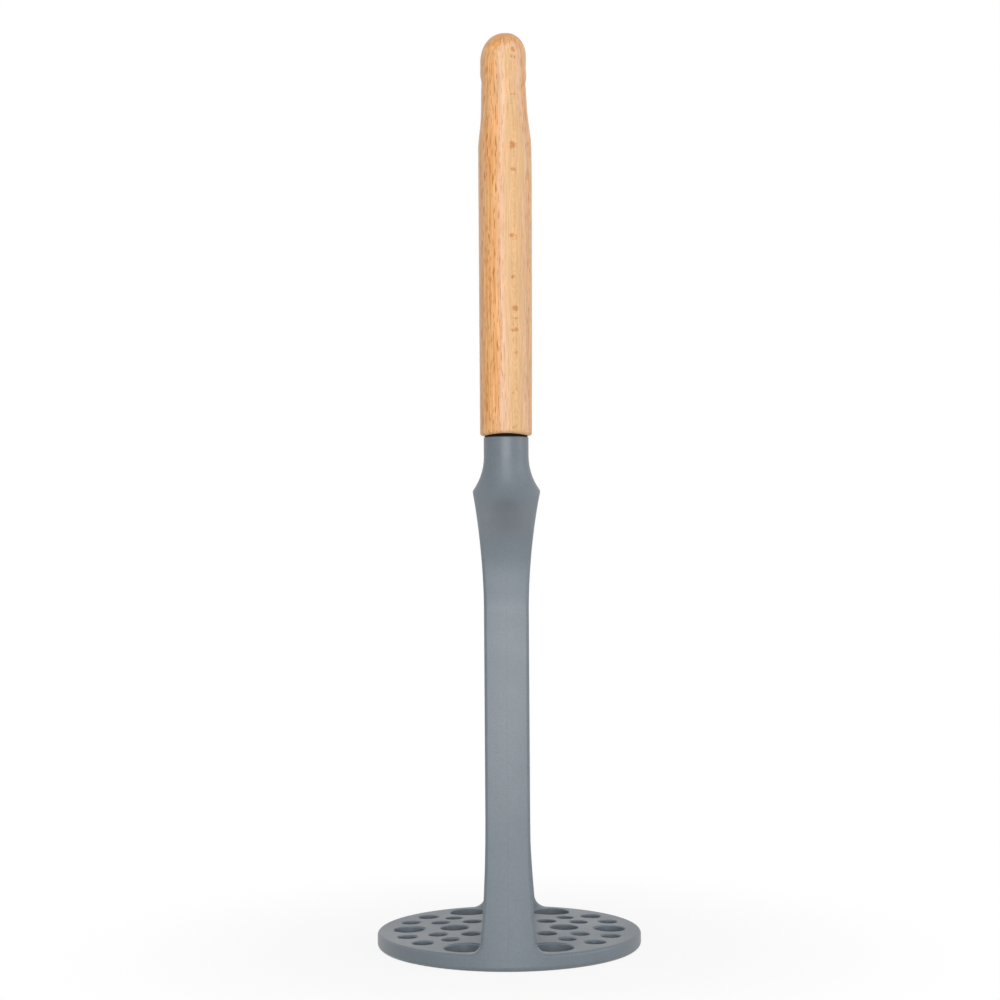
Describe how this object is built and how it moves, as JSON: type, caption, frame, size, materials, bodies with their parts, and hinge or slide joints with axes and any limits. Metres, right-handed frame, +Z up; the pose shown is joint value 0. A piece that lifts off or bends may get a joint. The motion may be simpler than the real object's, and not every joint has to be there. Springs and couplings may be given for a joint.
{
  "type": "potato masher",
  "caption": "Upright potato masher: oval wooden handle with a hanging hole, slim round neck, stirrup with two flat arms, and a round perforated mashing disc.",
  "frame": {"origin": "middle of the disc's underside, on the axis of the neck", "axes": "+Z up from the disc to the handle, the arms of the stirrup at -Y and +Y, +X the front of the tool"},
  "size_m": [0.086, 0.086, 0.2981],
  "materials": {
    "beech": "oiled, fine grain",
    "rubber": "matte",
    "nylon": "satin, fine moulded texture",
    "tang_steel": "turned"
  },
  "bodies": {
    "root": {"handle": "beech", "spacer_ring": "rubber", "masher_head": "nylon", "tang": "tang_steel"}
  },
  "joints": []
}
